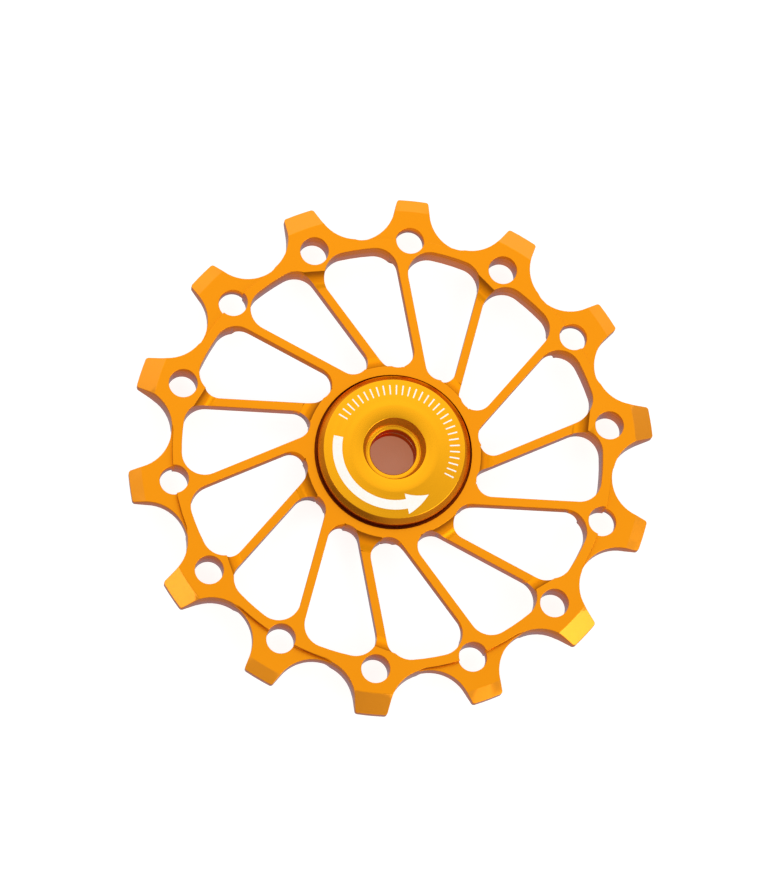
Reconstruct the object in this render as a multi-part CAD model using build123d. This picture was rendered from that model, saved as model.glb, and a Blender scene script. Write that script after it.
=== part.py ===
from build123d import *
from math import asin, cos, degrees, hypot, radians, sin, sqrt, tan
import os

# A narrow-wide jockey wheel for a bicycle derailleur: an aluminium wheel with leaning spokes, a shielded
# ball bearing in its hub and a cap on each side. The wheel lies flat with its axle along Z and its middle
# plane at Z = 0, and tooth 0, a wide one, points along +X. Sizes are in millimetres, angles in degrees.

# Chain and teeth
TEETH = 14
CHAIN_PITCH = 12.7
ROLLER_D = 7.8
TOOTH_H = 4.72  # from the bottom of a roller seat to the tooth tip
TIP_W = 3.5  # across a tooth at its tip
TIP_ROUND = 0.35
FLANK_TAPER = 9.2  # lean of each flank towards the middle of its tooth
TIP_EDGE = 1.2  # thickness left at the tips
WIDE_T = 3.6  # wide teeth, rim and hub
WIDE_BEVEL = 2.15  # how far a wide tooth's bevel reaches in from the tip
NARROW_T = 1.95
NARROW_BEVEL = 1.4
NARROW_OVERLAP = 3.9  # how far a narrow tooth's thinning runs past the middle of the gap
NARROW_END_R = 2.0  # round that the cutter leaves at each end of the thinning

# Rim and spokes
HOLE_D = 3.18  # one lightening hole under each tooth
HOLE_INSET = 0.16  # hole centres, inside the bottoms of the roller seats
HOLE_LAND = 0.85  # rim at full thickness, between a hole and the milled spoke
LAND_LEAN = 15.0  # lean of that land's inner edge, away from square to the tooth
RIM_W = 1.2  # between the roller seats and the spoke windows
RIM_LAND = 0.1  # how far a milled spoke stays inside the windows' outer ends
SPOKE_W = 0.95
SPOKE_T = 1.75
SPOKE_ROUND = 1.6  # corner that the cutter leaves at the ends of a milled spoke
SPOKE_OFFSET = 4.95  # from the axle to the middle line of a spoke
SPOKE_LANDING = 1.275  # from the middle of a tooth to where that line meets the rim
WINDOW_CORNER = 2.5
HUB_WALL = 0.92  # between the cap recess and the spoke windows
HUB_LAND = 1.05  # hub at full thickness, between the cap recess and a milled spoke

# Caps
BOLT_HOLE_D = 5.1
LEDGE_W = 0.5  # step from the bolt hole out to the counterbore
LEDGE_CHAMFER = 0.1
COUNTERBORE_DEPTH = 1.85
COUNTERBORE_FLARE = 0.32  # how far it widens from its floor to its mouth
MOUTH_CHAMFER = 0.08
FACE_W = 1.45  # flat ring round the mouth, outside which the face slopes to the bevel
FACE_DROP = 0.2
SPIGOT_WALL = 0.94
SPIGOT_GAP = 0.1  # left between the two spigots in the middle of the bearing
FLANGE_T = 1.0  # outside the bearing's side face
FLANGE_BEVEL_W = 0.6
FLANGE_BEVEL_H = 0.8
SKIRT_WALL = 0.35
SKIRT_PLAY = 0.1  # between the skirt and the bearing's outer ring
SKIRT_FLOOR_PLAY = 0.25  # between the skirt and the floor of its recess
POCKET_PLAY = 0.3  # between the flange and the bearing's outer ring and shield
RECESS_PLAY = 0.3  # between the skirt and the wall of its recess
RECESS_DEPTH = 0.8

# Ball bearing
BEARING_W = 5.0
BEARING_SECTION = 4.0  # from the bore to the outside
SLIP_FIT = 0.01
BALLS = 9
BALL_D = 2.0
RACE_PLAY = 0.015
RACE_OPENNESS = 1.04  # radius of a race's groove over that of a ball
LAND_OFFSET = 0.65  # from the pitch circle of the balls to each ring's shoulder
CAGE_T = 0.25
CAGE_W = 0.9
POCKET_PLAY_AT_BALL = 0.03
SHIELD_T = 0.25
SHIELD_PLAY = 0.1
SHIELD_SEAT = 0.55  # how far the shield overlaps the outer ring's shoulder
SNAP_RING_W = 0.25
SNAP_RING_T = 0.25
SNAP_RING_GAP = 30.0  # angle left open between its ends
LIP_T = 0.15  # outer ring beyond the snap ring's groove
LIP_H = 0.13  # how far that lip stands over the groove

OVERRUN = 1.0  # how far a cutting shape runs past what it cuts

PITCH_ANGLE = 360 / TEETH
HALF_PITCH = PITCH_ANGLE / 2

PITCH_R = CHAIN_PITCH / (2 * sin(radians(HALF_PITCH)))
ROOT_R = PITCH_R - ROLLER_D / 2
TIP_R = ROOT_R + TOOTH_H
HOLE_CIRCLE_R = ROOT_R - HOLE_INSET
RIM_R = ROOT_R - RIM_W
LAND_X = HOLE_CIRCLE_R - HOLE_D / 2 - HOLE_LAND  # inner edge of the land on the middle of its tooth
SPOKE_LEAN = degrees(asin(SPOKE_OFFSET / RIM_R) + asin(SPOKE_LANDING / RIM_R))  # from the radius of its tooth

BOLT_R = BOLT_HOLE_D / 2
COUNTERBORE_R = BOLT_R + LEDGE_W
SPIGOT_R = COUNTERBORE_R + SPIGOT_WALL
BEARING_BORE_R = SPIGOT_R + SLIP_FIT
BEARING_R = BEARING_BORE_R + BEARING_SECTION
BALL_CIRCLE_R = (BEARING_BORE_R + BEARING_R) / 2
INNER_LAND_R = BALL_CIRCLE_R - LAND_OFFSET
OUTER_LAND_R = BALL_CIRCLE_R + LAND_OFFSET
SKIRT_INNER_R = BEARING_R + SKIRT_PLAY
CAP_R = SKIRT_INNER_R + SKIRT_WALL
RECESS_R = CAP_R + RECESS_PLAY
HUB_R = RECESS_R + HUB_WALL
HUB_STEP_R = RECESS_R + HUB_LAND

WIDE_TOP = WIDE_T / 2
NARROW_TOP = NARROW_T / 2
RECESS_FLOOR = WIDE_TOP - RECESS_DEPTH
BEARING_TOP = BEARING_W / 2
CAP_TOP = BEARING_TOP + FLANGE_T
LIP_UNDER = BEARING_TOP - LIP_T
SHIELD_TOP = LIP_UNDER - SNAP_RING_T
SHIELD_UNDER = SHIELD_TOP - SHIELD_T
LIP_R = OUTER_LAND_R + SHIELD_SEAT
GROOVE_R = LIP_R + LIP_H


def polar(radius, angle):
    return radius * cos(radians(angle)), radius * sin(radians(angle))


def turned(points, arc=360.0):
    """A solid of revolution about Z from a profile of (radius, height) points."""
    profile = Plane.XZ * make_face(Polyline(*points, close=True))
    return revolve(profile, Axis.Z, arc)


def around(shape, count, first=0, every=1):
    """Copies of a shape about Z, one in every so many of the places in a full turn."""
    return [Rot(0, 0, 360 / count * i) * shape for i in range(first, count, every)]


def tooth_gap():
    """The space between two teeth: a round roller seat that runs into two straight flanks."""
    opening = HALF_PITCH + FLANK_TAPER
    tip_x, tip_y = polar(TIP_R, HALF_PITCH - degrees(asin(TIP_W / 2 / TIP_R)))
    lean_x, lean_y = polar(1, opening)
    # the seat touches the root circle and both flanks
    seat_r = ((ROOT_R - tip_x) * lean_y + tip_y * lean_x) / (1 - lean_y)
    touch_x, touch_y = ROOT_R + seat_r * (1 - lean_y), seat_r * lean_x
    out_x, out_y = tip_x + OVERRUN * lean_x, tip_y + OVERRUN * lean_y
    flanks = Polyline((touch_x, touch_y), (out_x, out_y), (out_x, -out_y), (touch_x, -touch_y))
    return make_face(flanks + ThreePointArc((touch_x, -touch_y), (ROOT_R, 0), (touch_x, touch_y)))


def spoke_edge(radius, tooth, side):
    """The point on one long edge of a tooth's spoke at a radius; side is -1 or 1."""
    offset = SPOKE_OFFSET + side * SPOKE_W / 2
    return polar(radius, SPOKE_LEAN + tooth * PITCH_ANGLE - degrees(asin(offset / radius)))


def window_apex():
    """Where the facing edges of the spokes of teeth 0 and 1 would meet."""
    near, far = SPOKE_OFFSET - SPOKE_W / 2, SPOKE_OFFSET + SPOKE_W / 2
    first, second = radians(SPOKE_LEAN), radians(SPOKE_LEAN + PITCH_ANGLE)
    across = sin(second - first)
    x = (far * cos(first) - near * cos(second)) / across
    y = (far * sin(first) - near * sin(second)) / across
    return x, y


def window_round(apex):
    """Radius of the full round that ends a window on the hub's circle."""
    middle_x, middle_y = polar(1, SPOKE_LEAN + HALF_PITCH)
    slope = 1 / sin(radians(HALF_PITCH))
    linear = (apex[0] * middle_x + apex[1] * middle_y) * slope - HUB_R
    square = 1 / tan(radians(HALF_PITCH)) ** 2
    return (sqrt(linear**2 + square * (HUB_R**2 - hypot(*apex) ** 2)) - linear) / square


def spoke_window():
    """The opening between the spokes of teeth 0 and 1."""
    apex = window_apex()
    low, high = spoke_edge(RIM_R, 0, -1), spoke_edge(RIM_R, 1, 1)
    outer = RadiusArc(high, low, RIM_R)
    window = make_face(Polyline(high, apex, low) + outer)
    inner_end = window.vertices().sort_by_distance((0, 0))[0]
    window = fillet(inner_end, window_round(apex))
    corners = window.vertices().sort_by_distance((0, 0))[-2:]
    return fillet(corners, WINDOW_CORNER)


def spoke_recess():
    """What is milled off one face of the spoke of tooth 0, halfway into the windows on its two sides."""
    reach = 2 * RIM_R
    apex = Vector(*window_apex())
    far = apex + Vector(*polar(reach, SPOKE_LEAN + HALF_PITCH))
    before = [p.rotate(Axis.Z, -PITCH_ANGLE) for p in (far, apex)]
    floor = SPOKE_T - WIDE_TOP
    height = WIDE_TOP - floor + OVERRUN
    wedge = extrude(make_face(Polyline(apex, far, *before, close=True)), height)
    ring = extrude(Circle(RIM_R - RIM_LAND) - Circle(HUB_STEP_R), height)
    ring = fillet(ring.faces().sort_by(Axis.Z)[0].edges(), SPOKE_ROUND)
    inside_land = extrude(Rectangle(reach, reach, align=(Align.MAX, Align.CENTER)), height)
    inside_land = fillet(inside_land.edges().group_by(Axis.Z)[0].sort_by(Axis.X)[-1], SPOKE_ROUND)
    return Pos(0, 0, floor) * (wedge & ring & Pos(LAND_X, 0) * Rot(0, 0, -LAND_LEAN) * inside_land)


def tip_bevel(thickness, width, arc):
    """The cone that bevels the tips of teeth of one thickness on one face, over an arc about tooth 0."""
    slope = (thickness - TIP_EDGE) / 2 / width
    top, above = thickness / 2, WIDE_TOP + OVERRUN
    start, beyond = TIP_R - width, TIP_R + OVERRUN
    cone = turned([(start, top), (beyond, TIP_EDGE / 2 - slope * OVERRUN), (beyond, above), (start, above)], arc)
    return Rot(0, 0, -arc / 2) * cone


def narrow_thinning():
    """What is milled off one face of a narrow tooth and of the rim on both sides of it."""
    half = HALF_PITCH + NARROW_OVERLAP
    near, far = HOLE_CIRCLE_R, TIP_R + OVERRUN
    inner = ThreePointArc(polar(near, -half), (near, 0), polar(near, half))
    outer = ThreePointArc(polar(far, -half), (far, 0), polar(far, half))
    sector = make_face(inner + outer + Line(inner @ 0, outer @ 0) + Line(inner @ 1, outer @ 1))
    sector = fillet(sector.vertices().sort_by_distance((0, 0))[:2], NARROW_END_R)
    return Pos(0, 0, NARROW_TOP) * extrude(sector, WIDE_TOP - NARROW_TOP + OVERRUN)


def tooth_plan():
    """The outline of all the teeth, with the corners of their tips rounded."""
    seam_in_gap = Rot(0, 0, HALF_PITCH)
    plan = seam_in_gap * Circle(TIP_R) - around(Rot(0, 0, HALF_PITCH) * tooth_gap(), TEETH)
    return fillet(plan.vertices().sort_by_distance((0, 0))[-2 * TEETH:], TIP_ROUND)


def toothed_wheel():
    plan = tooth_plan() - around(Pos(HOLE_CIRCLE_R, 0) * Circle(HOLE_D / 2), TEETH)
    plan -= around(spoke_window(), TEETH)
    plan -= Circle(BEARING_R + SLIP_FIT)
    wheel = extrude(plan, WIDE_TOP, both=True)
    recess = Pos(0, 0, RECESS_FLOOR) * extrude(Circle(RECESS_R), RECESS_DEPTH + OVERRUN)
    both_faces = [recess, tip_bevel(WIDE_T, WIDE_BEVEL, 360)]
    for cut in (narrow_thinning(), tip_bevel(NARROW_T, NARROW_BEVEL, PITCH_ANGLE)):
        both_faces += around(cut, TEETH, 1, 2)
    front_recesses = around(spoke_recess(), TEETH, 0, 2)
    back_recesses = [mirror(cut, Plane.XY) for cut in around(spoke_recess(), TEETH, 1, 2)]
    wheel -= [*both_faces, *(mirror(cut, Plane.XY) for cut in both_faces), *front_recesses, *back_recesses]
    return wheel


def cap_front():
    """A cap: a bevelled flange with a skirt in the hub's recess and a spigot in the bearing's bore."""
    chamfer = min(LEDGE_CHAMFER, LEDGE_W / 2)
    flare_r = COUNTERBORE_R + COUNTERBORE_FLARE
    mouth_r = flare_r + MOUTH_CHAMFER
    ledge = CAP_TOP - COUNTERBORE_DEPTH
    boss_r = (BEARING_BORE_R + INNER_LAND_R) / 2
    pocket = BEARING_TOP + POCKET_PLAY
    skirt_end = RECESS_FLOOR + SKIRT_FLOOR_PLAY
    return turned(
        [
            (BOLT_R, SPIGOT_GAP / 2),
            (SPIGOT_R, SPIGOT_GAP / 2),
            (SPIGOT_R, BEARING_TOP),
            (boss_r, BEARING_TOP),
            (boss_r, pocket),
            (SKIRT_INNER_R, pocket),
            (SKIRT_INNER_R, skirt_end),
            (CAP_R, skirt_end),
            (CAP_R, CAP_TOP - FLANGE_BEVEL_H),
            (CAP_R - FLANGE_BEVEL_W, CAP_TOP - FACE_DROP),
            (mouth_r + FACE_W, CAP_TOP),
            (mouth_r, CAP_TOP),
            (flare_r, CAP_TOP - MOUTH_CHAMFER),
            (COUNTERBORE_R, ledge),
            (BOLT_R + chamfer, ledge),
            (BOLT_R, ledge - chamfer),
        ]
    )


def race_groove(side):
    """The round groove for the balls in the inner race, side -1, or the outer race, side 1."""
    groove_r = BALL_D / 2 * RACE_OPENNESS
    middle = BALL_CIRCLE_R + side * (BALL_D / 2 + RACE_PLAY - groove_r)
    seam_up = Rot(0, 0, 90)  # keeps the circle's seam out of the race
    return revolve(Plane.XZ * Pos(middle, 0) * seam_up * Circle(groove_r), Axis.Z)


def bearing_inner_ring():
    ring = turned(
        [
            (BEARING_BORE_R, -BEARING_TOP),
            (INNER_LAND_R, -BEARING_TOP),
            (INNER_LAND_R, BEARING_TOP),
            (BEARING_BORE_R, BEARING_TOP),
        ]
    )
    return ring - race_groove(-1)


def bearing_outer_ring():
    """The outer ring, with a shoulder, a groove and a lip on each side for the shield and its snap ring."""
    upper = [
        (OUTER_LAND_R, SHIELD_UNDER),
        (GROOVE_R, SHIELD_UNDER),
        (GROOVE_R, LIP_UNDER),
        (LIP_R, LIP_UNDER),
        (LIP_R, BEARING_TOP),
        (BEARING_R, BEARING_TOP),
    ]
    lower = [(radius, -height) for radius, height in reversed(upper)]
    return turned(upper + lower) - race_groove(1)


def ball(number):
    return Pos(*polar(BALL_CIRCLE_R, 360 / BALLS * number)) * Sphere(BALL_D / 2)


def cage_front():
    """Half of a pressed ribbon cage: flat tabs between the balls and an arch over each of them."""
    inner_r, outer_r = BALL_CIRCLE_R - CAGE_W / 2, BALL_CIRCLE_R + CAGE_W / 2
    pocket_r = BALL_D / 2 + POCKET_PLAY_AT_BALL
    ribbon = Circle(outer_r) - Circle(inner_r)
    radial = Pos(BALL_CIRCLE_R, 0) * Rot(0, 90, 0)
    arches = around(radial * Cylinder(pocket_r + CAGE_T, CAGE_W + OVERRUN), BALLS)
    pockets = around(radial * Cylinder(pocket_r, CAGE_W + OVERRUN), BALLS)
    band = extrude(ribbon, CAGE_T) + arches - pockets
    return band & extrude(ribbon, pocket_r + CAGE_T)


def shield_front():
    return turned(
        [
            (INNER_LAND_R + SHIELD_PLAY, SHIELD_UNDER),
            (LIP_R - SLIP_FIT, SHIELD_UNDER),
            (LIP_R - SLIP_FIT, SHIELD_TOP),
            (INNER_LAND_R + SHIELD_PLAY, SHIELD_TOP),
        ]
    )


def snap_ring_front():
    """An open ring of square wire, sprung into the outer ring's groove over the shield."""
    outer_r = GROOVE_R - SLIP_FIT
    ring = turned(
        [
            (outer_r - SNAP_RING_W, SHIELD_TOP),
            (outer_r, SHIELD_TOP),
            (outer_r, LIP_UNDER),
            (outer_r - SNAP_RING_W, LIP_UNDER),
        ],
        360 - SNAP_RING_GAP,
    )
    return Rot(0, 0, SNAP_RING_GAP / 2) * ring


def pieces():
    """Every piece by its name."""
    found = {
        "toothed_wheel": toothed_wheel(),
        "bearing_outer_ring": bearing_outer_ring(),
        "bearing_inner_ring": bearing_inner_ring(),
    }
    for number in range(BALLS):
        found[f"ball_{number + 1}"] = ball(number)
    for name, front in {
        "cage": cage_front(),
        "shield": shield_front(),
        "snap_ring": snap_ring_front(),
        "cap": cap_front(),
    }.items():
        found[f"{name}_front"] = front
        found[f"{name}_back"] = mirror(front, Plane.XY)
    return found


os.makedirs("parts", exist_ok=True)
for name, solid in pieces().items():
    export_step(solid, f"parts/{name}.step")
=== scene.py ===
import math

import bmesh
import bpy
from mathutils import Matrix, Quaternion, Vector


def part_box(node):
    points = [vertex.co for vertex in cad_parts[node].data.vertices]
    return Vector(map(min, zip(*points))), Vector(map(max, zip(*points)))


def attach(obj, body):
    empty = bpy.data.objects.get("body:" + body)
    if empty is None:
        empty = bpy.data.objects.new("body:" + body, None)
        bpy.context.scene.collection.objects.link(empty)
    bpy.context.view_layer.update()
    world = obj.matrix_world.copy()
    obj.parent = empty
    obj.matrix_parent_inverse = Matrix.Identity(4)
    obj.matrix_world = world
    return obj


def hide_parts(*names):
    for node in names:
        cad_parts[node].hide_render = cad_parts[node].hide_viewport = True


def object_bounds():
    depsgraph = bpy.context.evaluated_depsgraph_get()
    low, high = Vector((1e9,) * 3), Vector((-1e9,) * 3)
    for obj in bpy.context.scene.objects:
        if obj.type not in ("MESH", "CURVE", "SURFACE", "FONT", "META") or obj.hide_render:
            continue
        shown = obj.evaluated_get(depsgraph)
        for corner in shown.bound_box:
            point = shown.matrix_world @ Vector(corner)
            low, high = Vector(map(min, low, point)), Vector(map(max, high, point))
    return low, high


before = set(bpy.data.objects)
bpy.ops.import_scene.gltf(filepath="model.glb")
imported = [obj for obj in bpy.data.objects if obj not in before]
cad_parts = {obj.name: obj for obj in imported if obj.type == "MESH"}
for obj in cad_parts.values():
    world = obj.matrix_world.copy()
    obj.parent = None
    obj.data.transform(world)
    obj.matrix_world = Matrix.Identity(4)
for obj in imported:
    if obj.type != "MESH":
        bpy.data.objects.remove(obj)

cad_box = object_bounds()

# An orange anodised jockey wheel that lies on a white table, seen almost straight from above. Lengths are
# in metres, from real sizes in millimetres, and angles in degrees.
MM = 0.001
MERGE_DISTANCE = 0.0005 * MM

# Camera: the photograph's angle, with the wheel's centre a little right of and below the picture's centre
VIEW_AZIMUTH = -30.57
VIEW_ELEVATION = 76.24
VIEW_ROLL = 22.84
VIEW_DISTANCE = 503 * MM
VIEW_NEAR, VIEW_FAR = 0.01, 20.0
LENS = 184.6  # focal length in millimetres
PICTURE_HEIGHT = 882
CENTRE_RIGHT_PX = 5.85
CENTRE_DOWN_PX = 14.38

# Light: a level of 1 is white, and one level fades into another by the cosine of the angle
TABLE_HALF = 3.0
TABLE_GAP = 0.02 * MM  # left under the back cap
TABLE_GLOW = 0.85
HUB_SHADE_R = 3.5 * MM  # the part of the table that shows through the bolt hole, with a dim orange glow painted on it
HUB_SHADE_GLOW = 0.44
BACK_AZIMUTH, BACK_ELEVATION = 85.0, 25.0  # the middle of the bright side of the room
ROOM_FRONT, ROOM_BACK = 0.58, 1.2
DUSK_START, DUSK_END = 0.34, 0.75
DOORWAY_AZIMUTH = -140.0  # a dark doorway low at the front, behind the camera
DOORWAY_LEVEL = 0.45
DOORWAY_EDGE, DOORWAY_MIDDLE = 0.66, 0.94

# Patterns in the finishes
BLAST_GRAIN = 0.16 * MM  # coarser than the real grain, so that it shows
LATHE_RING = 0.88 * MM  # wider than the feed of a lathe, so that the rings show
GRAIN_HEIGHT = 0.01 * MM
WAVE_RATE = 20  # radians that a wave texture runs through in one unit
DYE_CLOUD = 14 * MM
DYE_BLOT = 1.5 * MM
CUTTER_STREAK = 0.7 * MM
STREAK_STRETCH = 10
TOOL_MARK = 0.4 * MM
ETCH_BLOTCH = 0.5 * MM

# Wheel: a face is a wall, a slope or flat by how far up or down its normal points
WHEEL_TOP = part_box("toothed_wheel")[1].z
EDGE_BREAK = 0.05 * MM
EDGE_SEGMENTS = 2
SHARP_ANGLE = 25.0
FLAT_ANGLE = 0.3
WALL_NORMAL_Z = 0.1
SLOPE_NORMAL_Z = 0.5
FACE_NORMAL_Z = 0.999
STEP_WALL = 0.5 * MM  # the walls of milled corners are lower than this
STEP_TURN, STEP_FOOT = 0.25, 0.97  # how far up the normals point where a milled corner turns to the brown of painted shade
SHEEN_START, SHEEN_END = 0.8, 0.995  # and where it takes on the sheen of the faces
GROOVE_R = 8.78 * MM  # inside this the wheel only shows as the groove round the cap
CREASE_ANGLE = 8.0
CREASE_R = 26 * MM  # outside this only the bevels of the teeth have creases in their faces
FACE, WALL, GROOVE, CORNER, TOOTH_BEVEL = range(5)  # the wheel's finishes, in their order

# Cap
CAP_STEPS = 192
BOLT_R = 2.55 * MM
LEDGE_W = 0.5 * MM
LEDGE_CHAMFER = 0.1 * MM
LEDGE_GROOVE_W = 0.12 * MM
LEDGE_GROOVE_DEPTH = 0.1 * MM
COUNTERBORE_DEPTH = 1.85 * MM
COUNTERBORE_FLARE = 0.32 * MM
MOUTH_CHAMFER = 0.08 * MM
FACE_W = 1.45 * MM
FACE_DROP = 0.2 * MM
BEVEL_W = 0.6 * MM
BEVEL_H = 0.8 * MM
SKIRT_WALL = 0.35 * MM
SPIGOT_WALL = 0.94 * MM
BOSS_W = 0.685 * MM
FLANGE_T = 1.0 * MM
POCKET_PLAY = 0.3 * MM
SMALL_ROUND = 0.04 * MM
MOUTH_ROUND = 0.1 * MM
ROUND_SEGMENTS = 3
FLAT_NORMAL_Z = 0.9
RED_AZIMUTH = 128.0  # the side of the bolt hole with a painted red reflection
RED_EDGE, RED_MIDDLE = 0.6, 0.9
TURNED, CUT, SKIRT, BOLT_HOLE, COUNTERBORE = range(5)  # the cap's finishes, in their order

# Marks on the front cap
MARK_LIFT = 0.004 * MM
ARROW_R = 6.35 * MM
ARROW_W = 1.05 * MM
ARROW_HEAD_W = 2.3 * MM
ARROW_START, ARROW_NECK, ARROW_TIP = 160, 274, 298
ARROW_STEPS = 38
TICK_R = 6.7 * MM
TICK_H = 1.1 * MM
TICK_W = 0.15 * MM
TICK_START, TICK_GAP, TICKS = -34, 6, 30


def linear(hex_colour):
    """An sRGB hex colour as linear red, green, blue and alpha."""
    values = [int(hex_colour[i:i + 2], 16) / 255 for i in (1, 3, 5)]
    return tuple(c / 12.92 if c <= 0.04045 else ((c + 0.055) / 1.055) ** 2.4 for c in values) + (1.0,)


def towards(azimuth, elevation):
    """The unit vector that points to a place in the sky; azimuth runs from +X towards +Y."""
    a, e = math.radians(azimuth), math.radians(elevation)
    return Vector((math.cos(a) * math.cos(e), math.sin(a) * math.cos(e), math.sin(e)))


def add_node(tree, kind, inputs=None, **settings):
    """Adds a node with its settings; each input is a value or the socket of another node to link from."""
    made = tree.nodes.new(kind)
    for name, value in settings.items():
        setattr(made, name, value)
    for name, value in (inputs or {}).items():
        if isinstance(value, bpy.types.NodeSocket):
            tree.links.new(value, made.inputs[name])
        else:
            made.inputs[name].default_value = value
    return made


def new_material(name):
    """A material with an empty node tree, and that tree."""
    material = bpy.data.materials.new(name)
    material.use_nodes = True
    material.node_tree.nodes.clear()
    return material, material.node_tree


def new_piece(name, bm, *materials):
    """An object at the origin with the finished bmesh as its mesh."""
    mesh = bpy.data.meshes.new(name)
    bm.to_mesh(mesh)
    bm.free()
    for material in materials:
        mesh.materials.append(material)
    piece = bpy.data.objects.new(name, mesh)
    bpy.context.scene.collection.objects.link(piece)
    return piece


# Materials


def satin_orange_anodised(name, gloss):
    """Aluminium blasted with fine beads and dyed orange: a soft even glow under a thin clear sheen."""
    material, tree = new_material(name)
    place = add_node(tree, "ShaderNodeTexCoord").outputs["Object"]
    grain = add_node(tree, "ShaderNodeTexNoise", {"Vector": place, "Scale": 1 / BLAST_GRAIN, "Detail": 2.0})
    cloud = add_node(tree, "ShaderNodeTexNoise", {"Vector": place, "Scale": 1 / DYE_CLOUD, "Detail": 3.0})
    tint = add_node(tree, "ShaderNodeMix", {
        "Factor": cloud.outputs["Fac"], "A": linear("#FA980B"), "B": linear("#FF9F11"),
    }, data_type="RGBA")
    rough = add_node(tree, "ShaderNodeMapRange", {
        "Value": grain.outputs["Fac"], "To Min": 0.3, "To Max": 0.42,
    })
    bump = add_node(tree, "ShaderNodeBump", {
        "Height": grain.outputs["Fac"], "Strength": 0.2, "Distance": GRAIN_HEIGHT,
    })
    shader = add_node(tree, "ShaderNodeBsdfPrincipled", {
        "Base Color": tint.outputs["Result"], "Metallic": 1.0, "Roughness": rough.outputs["Result"],
        "Normal": bump.outputs["Normal"], "Coat Weight": gloss, "Coat Roughness": 0.2,
    })
    add_node(tree, "ShaderNodeOutputMaterial", {"Surface": shader.outputs["BSDF"]})
    return material


def milled_corner_painted_shade():
    """The same finish in a rounded corner left by the cutter: no sheen, and brown painted shade where it is
    steep.
    """
    material = satin_orange_anodised("orange_anodised_milled_corner_painted_shade", 0.0)
    tree = material.node_tree
    sockets = tree.nodes["Principled BSDF"].inputs
    normal = add_node(tree, "ShaderNodeTexCoord").outputs["Normal"]
    rise = add_node(tree, "ShaderNodeSeparateXYZ", {"Vector": normal}).outputs["Z"]
    upward = add_node(tree, "ShaderNodeMath", {0: rise}, operation="ABSOLUTE")
    level = add_node(tree, "ShaderNodeMapRange", {
        "Value": upward.outputs[0], "From Min": STEP_TURN, "From Max": STEP_FOOT,
    }, interpolation_type="SMOOTHSTEP")
    orange = sockets["Base Color"].links[0].from_socket
    # painted shade: the steep side of the corner darkens to brown
    tint = add_node(tree, "ShaderNodeMix", {
        "Factor": level.outputs["Result"], "A": linear("#B46A12"), "B": orange,
    }, data_type="RGBA")
    metal = add_node(tree, "ShaderNodeMapRange", {
        "Value": upward.outputs[0], "From Min": SHEEN_START, "From Max": SHEEN_END,
    }, interpolation_type="SMOOTHSTEP")
    tree.links.new(tint.outputs["Result"], sockets["Base Color"])
    tree.links.new(metal.outputs["Result"], sockets["Metallic"])
    sockets["Specular IOR Level"].default_value = 0.0
    return material


def milled_orange_anodised():
    """The same dye on walls left by the cutter, with faint level streaks, and a painted shade and
    reflection: brown on top and mauve lower down.
    """
    material, tree = new_material("milled_orange_anodised_aluminium_painted_shade")
    place = add_node(tree, "ShaderNodeTexCoord").outputs["Object"]
    height = add_node(tree, "ShaderNodeSeparateXYZ", {"Vector": place}).outputs["Z"]
    drawn = add_node(tree, "ShaderNodeVectorMath", {
        0: place, 1: (1 / STREAK_STRETCH, 1 / STREAK_STRETCH, 1.0),
    }, operation="MULTIPLY")
    streaks = add_node(tree, "ShaderNodeTexNoise", {
        "Vector": drawn.outputs["Vector"], "Scale": 1 / CUTTER_STREAK, "Detail": 2.0,
    })
    # painted shade and reflection: the reflection's tint and the metal fade from brown at the top of the
    # wall to mauve lower down
    depth = add_node(tree, "ShaderNodeMapRange", {
        "Value": height, "From Min": WHEEL_TOP, "From Max": -WHEEL_TOP, "To Min": -0.3, "To Max": 0.7,
    })
    shade = add_node(tree, "ShaderNodeMath", {
        0: depth.outputs["Result"], 1: streaks.outputs["Fac"],
    }, operation="ADD", use_clamp=True)
    tint = add_node(tree, "ShaderNodeMix", {
        "Factor": shade.outputs[0], "A": linear("#8C8C8C"), "B": linear("#84A6D2"),
    }, data_type="RGBA")
    metal = add_node(tree, "ShaderNodeMapRange", {"Value": shade.outputs[0], "To Min": 0.5, "To Max": 0.95})
    shader = add_node(tree, "ShaderNodeBsdfPrincipled", {
        "Base Color": linear("#F08C1C"), "Metallic": metal.outputs["Result"], "Roughness": 0.24,
        "Specular Tint": tint.outputs["Result"], "Specular IOR Level": 0.0,
    })
    add_node(tree, "ShaderNodeOutputMaterial", {"Surface": shader.outputs["BSDF"]})
    return material


def turned_gold_anodised():
    """Aluminium turned on a lathe and dyed golden orange: fine rings that draw the light out into a fan."""
    material, tree = new_material("turned_gold_anodised_aluminium")
    place = add_node(tree, "ShaderNodeTexCoord").outputs["Object"]
    rings = add_node(tree, "ShaderNodeTexWave", {
        "Vector": place, "Scale": math.tau / (WAVE_RATE * LATHE_RING), "Distortion": 0.4,
    }, wave_type="RINGS", rings_direction="Z")
    rough = add_node(tree, "ShaderNodeMapRange", {
        "Value": rings.outputs["Fac"], "To Min": 0.2, "To Max": 0.26,
    })
    bump = add_node(tree, "ShaderNodeBump", {
        "Height": rings.outputs["Fac"], "Strength": 0.03, "Distance": GRAIN_HEIGHT,
    })
    along = add_node(tree, "ShaderNodeTangent", direction_type="RADIAL", axis="Z")
    shader = add_node(tree, "ShaderNodeBsdfPrincipled", {
        "Base Color": linear("#FFB018"), "Metallic": 1.0, "Roughness": rough.outputs["Result"],
        "Normal": bump.outputs["Normal"], "Tangent": along.outputs["Tangent"], "Anisotropic": 0.5,
        "Coat Weight": 0.03, "Coat Roughness": 0.15,
    })
    add_node(tree, "ShaderNodeOutputMaterial", {"Surface": shader.outputs["BSDF"]})
    return material


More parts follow.
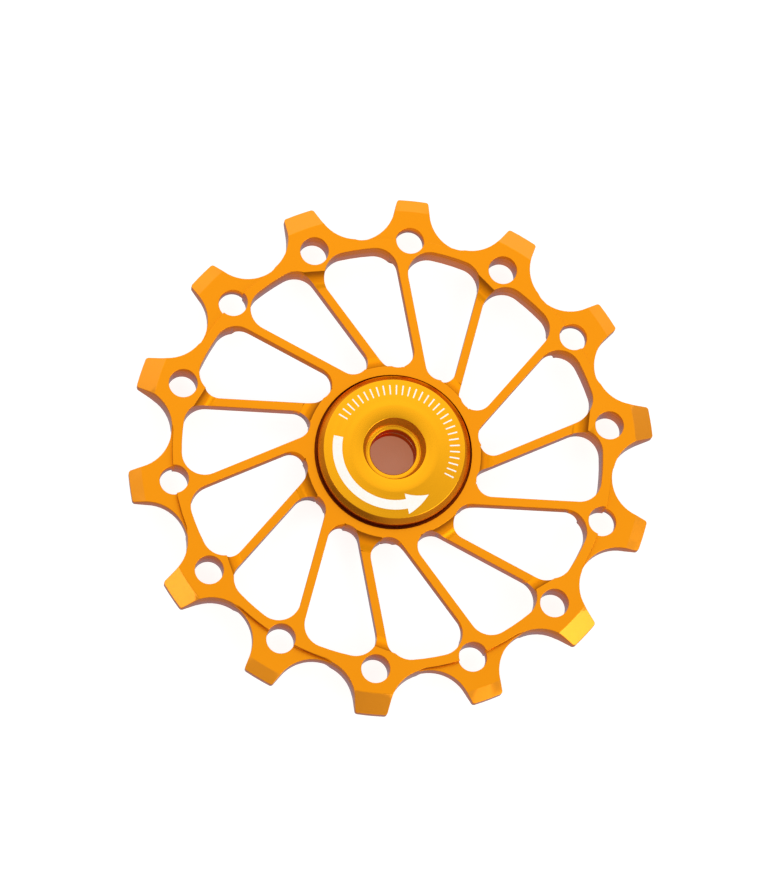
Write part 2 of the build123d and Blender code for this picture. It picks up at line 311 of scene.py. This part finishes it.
def cut_gold_anodised(name, hex_colour, metallic):
    """The same dye on edges and bores left by the tool: they mirror the darker sides of the room."""
    material, tree = new_material(name)
    place = add_node(tree, "ShaderNodeTexCoord").outputs["Object"]
    marks = add_node(tree, "ShaderNodeTexNoise", {"Vector": place, "Scale": 1 / TOOL_MARK, "Detail": 2.0})
    rough = add_node(tree, "ShaderNodeMapRange", {
        "Value": marks.outputs["Fac"], "To Min": 0.2, "To Max": 0.28,
    })
    shader = add_node(tree, "ShaderNodeBsdfPrincipled", {
        "Base Color": linear(hex_colour), "Metallic": metallic, "Roughness": rough.outputs["Result"],
        "Specular Tint": linear("#D8B0A0"), "Specular IOR Level": 0.0,
    })
    add_node(tree, "ShaderNodeOutputMaterial", {"Surface": shader.outputs["BSDF"]})
    return material


def bore_painted_red_reflection():
    """The dye deep in the bolt hole: brown, with a painted red reflection on one side, for the light that
    bounces to and fro there.
    """
    material, tree = new_material("anodised_bore_painted_red_reflection")
    place = add_node(tree, "ShaderNodeTexCoord").outputs["Object"]
    flat = add_node(tree, "ShaderNodeVectorMath", {0: place, 1: (1.0, 1.0, 0.0)}, operation="MULTIPLY")
    out = add_node(tree, "ShaderNodeVectorMath", {0: flat.outputs["Vector"]}, operation="NORMALIZE")
    facing = add_node(tree, "ShaderNodeVectorMath", {
        0: out.outputs["Vector"], 1: towards(RED_AZIMUTH, 0),
    }, operation="DOT_PRODUCT")
    red = add_node(tree, "ShaderNodeMapRange", {
        "Value": facing.outputs["Value"], "From Min": RED_EDGE, "From Max": RED_MIDDLE,
    }, interpolation_type="SMOOTHSTEP")
    tint = add_node(tree, "ShaderNodeMix", {
        "Factor": red.outputs["Result"], "A": linear("#C89060"), "B": linear("#FF6C28"),
    }, data_type="RGBA")
    shader = add_node(tree, "ShaderNodeBsdfPrincipled", {
        "Base Color": tint.outputs["Result"], "Metallic": 1.0, "Roughness": 0.2,
        "Specular Tint": linear("#D89080"),
    })
    add_node(tree, "ShaderNodeOutputMaterial", {"Surface": shader.outputs["BSDF"]})
    return material


def painted_groove_shade():
    """Painted shade in the narrow groove round a cap: a dull dark brown that makes the groove look deep."""
    material, tree = new_material("dark_painted_groove_shade")
    place = add_node(tree, "ShaderNodeTexCoord").outputs["Object"]
    blots = add_node(tree, "ShaderNodeTexNoise", {"Vector": place, "Scale": 1 / DYE_BLOT, "Detail": 3.0})
    tint = add_node(tree, "ShaderNodeMix", {
        "Factor": blots.outputs["Fac"], "A": linear("#8C340E"), "B": linear("#B04C12"),
    }, data_type="RGBA")
    shader = add_node(tree, "ShaderNodeBsdfPrincipled", {
        "Base Color": tint.outputs["Result"], "Metallic": 1.0, "Roughness": 0.45,
    })
    add_node(tree, "ShaderNodeOutputMaterial", {"Surface": shader.outputs["BSDF"]})
    return material


def white_etching():
    """Anodising burned off by a laser: matt white with a faint blotch, the whitest thing on the part."""
    material, tree = new_material("white_laser_etching")
    place = add_node(tree, "ShaderNodeTexCoord").outputs["Object"]
    blotch = add_node(tree, "ShaderNodeTexNoise", {
        "Vector": place, "Scale": 1 / ETCH_BLOTCH, "Detail": 3.0,
    })
    tint = add_node(tree, "ShaderNodeMix", {
        "Factor": blotch.outputs["Fac"], "A": linear("#FFF6E4"), "B": linear("#FFFFFF"),
    }, data_type="RGBA")
    shader = add_node(tree, "ShaderNodeBsdfPrincipled", {
        "Base Color": tint.outputs["Result"], "Roughness": 0.7, "Specular IOR Level": 0.2,
    })
    add_node(tree, "ShaderNodeOutputMaterial", {"Surface": shader.outputs["BSDF"]})
    return material


def steel(name, hex_colour, low, high, spacing):
    """Bare steel with a fine streaky finish between two roughnesses."""
    material, tree = new_material(name)
    place = add_node(tree, "ShaderNodeTexCoord").outputs["Object"]
    streaks = add_node(tree, "ShaderNodeTexNoise", {"Vector": place, "Scale": 1 / spacing, "Detail": 3.0})
    rough = add_node(tree, "ShaderNodeMapRange", {
        "Value": streaks.outputs["Fac"], "To Min": low, "To Max": high,
    })
    shader = add_node(tree, "ShaderNodeBsdfPrincipled", {
        "Base Color": linear(hex_colour), "Metallic": 1.0, "Roughness": rough.outputs["Result"],
    })
    add_node(tree, "ShaderNodeOutputMaterial", {"Surface": shader.outputs["BSDF"]})
    return material


def white_table():
    """A matt white table that shows as plain white, but for a dim orange glow painted under the bolt hole.

    A camera under the table looks through it.
    """
    material, tree = new_material("white_table")
    path = add_node(tree, "ShaderNodeLightPath").outputs
    seen = add_node(tree, "ShaderNodeMath", {
        0: path["Is Camera Ray"], 1: path["Is Glossy Ray"],
    }, operation="MAXIMUM")
    seen = add_node(tree, "ShaderNodeMath", {
        0: seen.outputs[0], 1: path["Is Transmission Ray"],
    }, operation="MAXIMUM")
    place = add_node(tree, "ShaderNodeTexCoord").outputs["Object"]
    flat = add_node(tree, "ShaderNodeVectorMath", {0: place, 1: (1.0, 1.0, 0.0)}, operation="MULTIPLY")
    reach = add_node(tree, "ShaderNodeVectorMath", {0: flat.outputs["Vector"]}, operation="LENGTH")
    outside = add_node(tree, "ShaderNodeMath", {
        0: reach.outputs["Value"], 1: HUB_SHADE_R,
    }, operation="GREATER_THAN")
    level = add_node(tree, "ShaderNodeMapRange", {
        "Value": outside.outputs[0], "To Min": HUB_SHADE_GLOW, "To Max": TABLE_GLOW,
    })
    # painted light: within the bolt hole's reach the table glows a dim orange
    tint = add_node(tree, "ShaderNodeMix", {
        "Factor": outside.outputs[0], "A": linear("#E88C62"), "B": linear("#FFFFFF"),
    }, data_type="RGBA")
    glow = add_node(tree, "ShaderNodeMath", {
        0: seen.outputs[0], 1: level.outputs["Result"],
    }, operation="MULTIPLY")
    matt = add_node(tree, "ShaderNodeBsdfDiffuse", {"Color": linear("#969696")})
    light = add_node(tree, "ShaderNodeEmission", {
        "Color": tint.outputs["Result"], "Strength": glow.outputs[0],
    })
    both = add_node(tree, "ShaderNodeAddShader", {0: matt.outputs[0], 1: light.outputs[0]})
    under = add_node(tree, "ShaderNodeNewGeometry").outputs["Backfacing"]
    hidden = add_node(tree, "ShaderNodeMath", {0: path["Is Camera Ray"], 1: under}, operation="MULTIPLY")
    clear = add_node(tree, "ShaderNodeBsdfTransparent")
    shown = add_node(tree, "ShaderNodeMixShader", {
        0: hidden.outputs[0], 1: both.outputs[0], 2: clear.outputs[0],
    })
    add_node(tree, "ShaderNodeOutputMaterial", {"Surface": shown.outputs[0]})
    return material


# Pieces


def broken_edge_copy(node, name, *materials):
    """A copy of a machined node with its outer edges broken.

    Its materials are for its flat faces, its upright walls, what shows of it round the cap, its milled
    corners and the bevels of its teeth.
    """
    bm = bmesh.new()
    bm.from_mesh(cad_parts[node].data)
    bmesh.ops.remove_doubles(bm, verts=bm.verts, dist=MERGE_DISTANCE)
    bmesh.ops.dissolve_limit(bm, angle_limit=math.radians(FLAT_ANGLE), verts=bm.verts, edges=bm.edges)
    inner = {f for f in bm.faces if f.calc_center_median().xy.length < CREASE_R}
    rounds = {f for f in inner if WALL_NORMAL_Z < abs(f.normal.z) < FACE_NORMAL_Z}
    sharp = {e for e in bm.edges if e.calc_face_angle() > math.radians(SHARP_ANGLE)}
    broken = {e for e in sharp if e.is_convex and rounds.isdisjoint(e.link_faces)}
    for face in bm.faces:
        face.smooth = True
        upward = abs(face.normal.z)
        heights = [v.co.z for v in face.verts]
        low_wall = face in inner and upward < WALL_NORMAL_Z and max(heights) - min(heights) < STEP_WALL
        if all(v.co.xy.length < GROOVE_R for v in face.verts):
            face.material_index = GROOVE
        elif face in rounds or low_wall:
            face.material_index = CORNER
        elif face not in inner and SLOPE_NORMAL_Z < upward < FACE_NORMAL_Z:
            face.material_index = TOOTH_BEVEL
        else:
            face.material_index = WALL if upward < WALL_NORMAL_Z else FACE
    for edge in bm.edges:
        middle = (edge.verts[0].co + edge.verts[1].co) / 2
        on_top = all(abs(face.normal.z) > SLOPE_NORMAL_Z for face in edge.link_faces)
        turns = edge.calc_face_angle() > math.radians(CREASE_ANGLE)
        crease = on_top and turns and middle.xy.length > CREASE_R
        edge.smooth = not crease and (edge in broken or edge not in sharp)
    bmesh.ops.bevel(bm, geom=list(broken), offset=EDGE_BREAK, affect="EDGES", segments=EDGE_SEGMENTS,
                    profile=0.5, material=-1, clamp_overlap=False)
    piece = new_piece(name, bm, *materials)
    piece.modifiers.new("even_faces", "WEIGHTED_NORMAL").keep_sharp = True
    return piece


def turned_cap(node, name, *materials):
    """A cap spun from its profile with its corners rounded, in the place of its node.

    Its materials are for its turned face, its cut edges, its skirt, its bolt hole and its counterbore.
    """
    low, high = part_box(node)
    side = 1 if high.z > -low.z else -1
    outer_r, top, inner_end = high.x, max(high.z, -low.z), min(abs(high.z), abs(low.z))
    cad_points = [v.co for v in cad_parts[node].data.vertices]
    skirt_end = min(abs(co.z) for co in cad_points if co.xy.length > outer_r - SMALL_ROUND)
    counterbore_r = BOLT_R + LEDGE_W
    mouth_r = counterbore_r + COUNTERBORE_FLARE + MOUTH_CHAMFER
    spigot_r = counterbore_r + SPIGOT_WALL
    boss_r = spigot_r + BOSS_W
    skirt_r = outer_r - SKIRT_WALL
    groove_r = counterbore_r - LEDGE_GROOVE_W
    under = top - FLANGE_T
    pocket = under + POCKET_PLAY
    ledge = top - COUNTERBORE_DEPTH
    groove_top = ledge + LEDGE_GROOVE_DEPTH
    profile = [
        (BOLT_R, inner_end), (spigot_r, inner_end), (spigot_r, under), (boss_r, under), (boss_r, pocket),
        (skirt_r, pocket), (skirt_r, skirt_end), (outer_r, skirt_end), (outer_r, top - BEVEL_H),
        (outer_r - BEVEL_W, top - FACE_DROP), (mouth_r + FACE_W, top), (mouth_r, top),
        (counterbore_r, groove_top), (groove_r, groove_top), (groove_r, ledge),
        (BOLT_R + LEDGE_CHAMFER, ledge), (BOLT_R, ledge - LEDGE_CHAMFER),
    ]
    bm = bmesh.new()
    corners = [bm.verts.new((r, 0, side * z)) for r, z in profile]
    bm.faces.new(corners)
    soft = [v for v in corners if abs(v.co.z) == top]
    crisp = [v for v in corners if v not in soft]
    for group, offset in ((soft, MOUTH_ROUND), (crisp, SMALL_ROUND)):
        bmesh.ops.bevel(bm, geom=group, offset=offset, affect="VERTICES", segments=ROUND_SEGMENTS,
                        profile=0.5, material=-1)
    bmesh.ops.delete(bm, geom=bm.faces[:], context="FACES_ONLY")
    bmesh.ops.spin(bm, geom=bm.verts[:] + bm.edges[:], cent=(0, 0, 0), axis=(0, 0, 1), dvec=(0, 0, 0),
                   angle=math.tau, steps=CAP_STEPS, use_merge=True)
    bmesh.ops.remove_doubles(bm, verts=bm.verts, dist=MERGE_DISTANCE)
    bmesh.ops.recalc_face_normals(bm, faces=bm.faces)
    for face in bm.faces:
        face.smooth = True
        radii = [v.co.xy.length for v in face.verts]
        steep = abs(face.normal.z) < FLAT_NORMAL_Z
        below_bevel = all(abs(v.co.z) < top - BEVEL_H for v in face.verts)
        if below_bevel and min(radii) > outer_r - SMALL_ROUND:
            face.material_index = SKIRT
        elif max(radii) < BOLT_R + LEDGE_CHAMFER / 2:
            face.material_index = BOLT_HOLE
        elif steep and max(radii) < mouth_r:
            face.material_index = COUNTERBORE
        else:
            face.material_index = CUT if steep else TURNED
    piece = new_piece(name, bm, *materials)
    piece.modifiers.new("even_faces", "WEIGHTED_NORMAL").keep_sharp = True
    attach(piece, "axle")
    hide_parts(node)


def etched_marks(name, material):
    """White marks on the front cap's sloping face: an arrow for the sense of rotation and fine ticks."""
    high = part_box("cap_front")[1]
    slope_r = BOLT_R + LEDGE_W + COUNTERBORE_FLARE + MOUTH_CHAMFER + FACE_W
    fall = FACE_DROP / (high.x - BEVEL_W - slope_r)
    bm = bmesh.new()

    def on_slope(azimuth, r):
        height = high.z + MARK_LIFT - fall * (r - slope_r)
        return bm.verts.new(towards(azimuth, 0) * r + Vector((0, 0, height)))

    def add_strip(sections):
        pairs = []
        for azimuth, middle, width in sections:
            pairs.append([on_slope(azimuth, middle - width / 2), on_slope(azimuth, middle + width / 2)])
        for (a, b), (c, d) in zip(pairs, pairs[1:]):
            bm.faces.new((a, b, d, c))

    def steps(first, last):
        return [first + (last - first) * i / ARROW_STEPS for i in range(ARROW_STEPS + 1)]

    add_strip([(a, ARROW_R, ARROW_W) for a in steps(ARROW_START, ARROW_NECK)])
    head = ARROW_TIP - ARROW_NECK
    add_strip([(a, ARROW_R, ARROW_HEAD_W * (ARROW_TIP - a) / head) for a in steps(ARROW_NECK, ARROW_TIP)])
    half = math.degrees(TICK_W / TICK_R) / 2
    for tick in range(TICKS):
        middle = TICK_START + tick * TICK_GAP
        add_strip([(middle - half, TICK_R, TICK_H), (middle + half, TICK_R, TICK_H)])
    bmesh.ops.remove_doubles(bm, verts=bm.verts, dist=MERGE_DISTANCE)
    piece = new_piece(name, bm, material)
    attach(piece, "axle")


# Studio


def lay_table():
    """A wide flat table under the back cap."""
    bm = bmesh.new()
    bmesh.ops.create_grid(bm, x_segments=1, y_segments=1, size=TABLE_HALF)
    bmesh.ops.translate(bm, verts=bm.verts, vec=(0, 0, cad_box[0].z - TABLE_GAP))
    table = new_piece("table", bm, white_table())


def studio_world():
    """A white room that is brighter at the back and dusky at the front, where the camera stands.

    The camera itself sees it as plain white.
    """
    world = bpy.data.worlds.new("studio")
    world.use_nodes = True
    tree = world.node_tree
    tree.nodes.clear()
    sky = add_node(tree, "ShaderNodeTexCoord").outputs["Generated"]
    back = add_node(tree, "ShaderNodeVectorMath", {
        0: sky, 1: towards(BACK_AZIMUTH, BACK_ELEVATION),
    }, operation="DOT_PRODUCT")
    level = add_node(tree, "ShaderNodeMapRange", {
        "Value": back.outputs["Value"], "From Min": DUSK_START, "From Max": DUSK_END,
        "To Min": ROOM_FRONT, "To Max": ROOM_BACK,
    }, interpolation_type="SMOOTHSTEP")
    front = add_node(tree, "ShaderNodeVectorMath", {
        0: sky, 1: towards(DOORWAY_AZIMUTH, 0),
    }, operation="DOT_PRODUCT")
    doorway = add_node(tree, "ShaderNodeMapRange", {
        "Value": front.outputs["Value"], "From Min": DOORWAY_EDGE, "From Max": DOORWAY_MIDDLE,
        "To Min": 1.0, "To Max": DOORWAY_LEVEL,
    }, interpolation_type="SMOOTHSTEP")
    room = add_node(tree, "ShaderNodeMath", {
        0: level.outputs["Result"], 1: doorway.outputs["Result"],
    }, operation="MULTIPLY")
    seen = add_node(tree, "ShaderNodeLightPath").outputs["Is Camera Ray"]
    shown = add_node(tree, "ShaderNodeMix", {"Factor": seen, "A": room.outputs[0], "B": 1.0})
    light = add_node(tree, "ShaderNodeBackground", {
        "Color": linear("#FFFFFF"), "Strength": shown.outputs["Result"],
    })
    add_node(tree, "ShaderNodeOutputWorld", {"Surface": light.outputs["Background"]})
    return world


def softbox(name, azimuth, elevation, distance, size, level):
    """A square lamp aimed at the wheel; level is how bright it looks, with 1 for white."""
    data = bpy.data.lights.new(name, "AREA")
    data.size = size
    data.energy = level * math.pi * size**2
    lamp = bpy.data.objects.new(name, data)
    lamp.location = towards(azimuth, elevation) * distance
    lamp.rotation_euler = towards(azimuth, elevation).to_track_quat("Z", "Y").to_euler()
    lamp.visible_camera = False
    bpy.context.scene.collection.objects.link(lamp)


def aim_camera():
    """The scene's camera, aimed at the wheel's centre and shifted to the photograph's framing."""
    data = bpy.data.cameras.new("camera")
    data.lens = LENS
    data.shift_x = -CENTRE_RIGHT_PX / PICTURE_HEIGHT
    data.shift_y = CENTRE_DOWN_PX / PICTURE_HEIGHT
    data.clip_start, data.clip_end = VIEW_NEAR, VIEW_FAR
    camera = bpy.data.objects.new("camera", data)
    back = towards(VIEW_AZIMUTH - 90, VIEW_ELEVATION)
    camera.location = back * VIEW_DISTANCE
    turn = back.to_track_quat("Z", "Y") @ Quaternion((0, 0, 1), math.radians(VIEW_ROLL))
    camera.rotation_euler = turn.to_euler()
    bpy.context.scene.collection.objects.link(camera)
    bpy.context.scene.camera = camera


# The wheel, its caps and its bearing

# The groove round each cap, on the wheel and on the caps' skirts, gets a dark brown of painted shade.
groove_painted_shade = painted_groove_shade()
wheel_finishes = (
    satin_orange_anodised("satin_orange_anodised_aluminium", 0.08), milled_orange_anodised(), groove_painted_shade,
    milled_corner_painted_shade(), satin_orange_anodised("glossy_orange_anodised_bevel", 0.45),
)
wheel = broken_edge_copy("toothed_wheel", "toothed_wheel_finished", *wheel_finishes)
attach(wheel, "wheel")
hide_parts("toothed_wheel")

bright_cut = cut_gold_anodised("bright_cut_gold_anodised_aluminium", "#DA8018", 1.0)
dull_cut = cut_gold_anodised("dull_bored_gold_anodised_aluminium", "#E0901E", 0.55)
cap_finishes = turned_gold_anodised(), bright_cut, groove_painted_shade, bore_painted_red_reflection(), dull_cut
turned_cap("cap_front", "cap_front_finished", *cap_finishes)
turned_cap("cap_back", "cap_back_finished", *cap_finishes)
etched_marks("cap_front_marks", white_etching())

ground_steel = steel("ground_bearing_steel", "#B9BABC", low=0.16, high=0.3, spacing=0.3 * MM)
polished_steel = steel("polished_ball_steel", "#C4C5C8", low=0.05, high=0.1, spacing=0.6 * MM)
pressed_steel = steel("pressed_zinc_plated_steel", "#A9ABAE", low=0.25, high=0.4, spacing=0.2 * MM)
bearing_steels = {
    "bearing": ground_steel, "ball": polished_steel, "cage": pressed_steel, "shield": pressed_steel,
    "snap": pressed_steel,
}
for name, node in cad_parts.items():
    finish = bearing_steels.get(name.split("_")[0])
    if finish:
        node.data.materials.clear()
        node.data.materials.append(finish)

# The table, the light and the camera

lay_table()
bpy.context.scene.world = studio_world()
softbox("softbox_right", azimuth=-44, elevation=40, distance=0.5, size=0.34, level=2.2)
softbox("softbox_left", azimuth=-164, elevation=39, distance=0.5, size=0.2, level=1.9)
aim_camera()
bpy.context.scene.view_settings.view_transform = "Standard"
